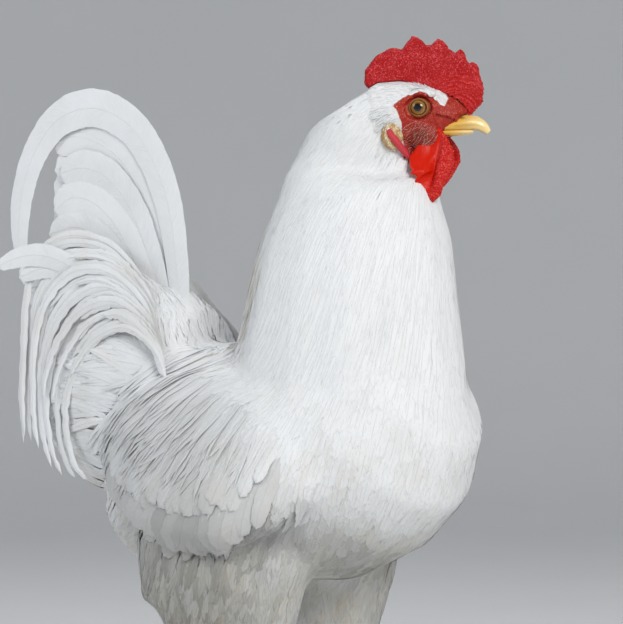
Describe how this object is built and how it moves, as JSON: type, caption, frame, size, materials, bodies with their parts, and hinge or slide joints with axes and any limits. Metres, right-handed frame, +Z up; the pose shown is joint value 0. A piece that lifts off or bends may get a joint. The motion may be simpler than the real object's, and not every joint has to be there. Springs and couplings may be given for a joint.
{
  "type": "rooster model",
  "caption": "Life-size still model of a white single-combed rooster standing square, head turned a little to its left, with arched tail feathers and a red comb and wattles.",
  "frame": {"origin": "on the floor, under the middle of the whole bird's box", "axes": "+X the way the body faces, +Y the bird's left, +Z up"},
  "size_m": [0.4006, 0.1872, 0.5517],
  "materials": {
    "plumage": "soft matte white feather",
    "quill": "smooth white vane with a slight sheen",
    "face": "bare red skin with fine bristles",
    "comb": "granular crimson skin",
    "lobe": "wrinkled creamy white skin",
    "horn": "satin yellow horn",
    "eye": "wet, amber round a black pupil",
    "scale": "satin yellow scutes"
  },
  "bodies": {
    "root": {"trunk": "plumage", "neck": "plumage", "vent": "plumage", "wing_left": "plumage", "wing_right": "plumage", "head": "face", "beak_upper": "horn", "beak_lower": "horn", "comb": "comb", "eye_left": "eye", "earlobe_left": "lobe", "wattle_left": "comb", "eye_right": "eye", "earlobe_right": "lobe", "wattle_right": "comb", "tail_coverts": "plumage", "tail_fan_left": "quill", "sickle_main_left": "quill", "sickle_second_left": "quill", "sickle_low_left": "quill", "tail_fan_right": "quill", "sickle_main_right": "quill", "sickle_second_right": "quill", "sickle_low_right": "quill", "thigh_left": "plumage", "shank_left": "scale", "spur_left": "horn", "toe_left_middle": "scale", "claw_left_middle": "horn", "toe_left_inner": "scale", "claw_left_inner": "horn", "toe_left_outer": "scale", "claw_left_outer": "horn", "toe_left_hind": "scale", "claw_left_hind": "horn", "thigh_right": "plumage", "shank_right": "scale", "spur_right": "horn", "toe_right_middle": "scale", "claw_right_middle": "horn", "toe_right_inner": "scale", "claw_right_inner": "horn", "toe_right_outer": "scale", "claw_right_outer": "horn", "toe_right_hind": "scale", "claw_right_hind": "horn"}
  },
  "joints": []
}
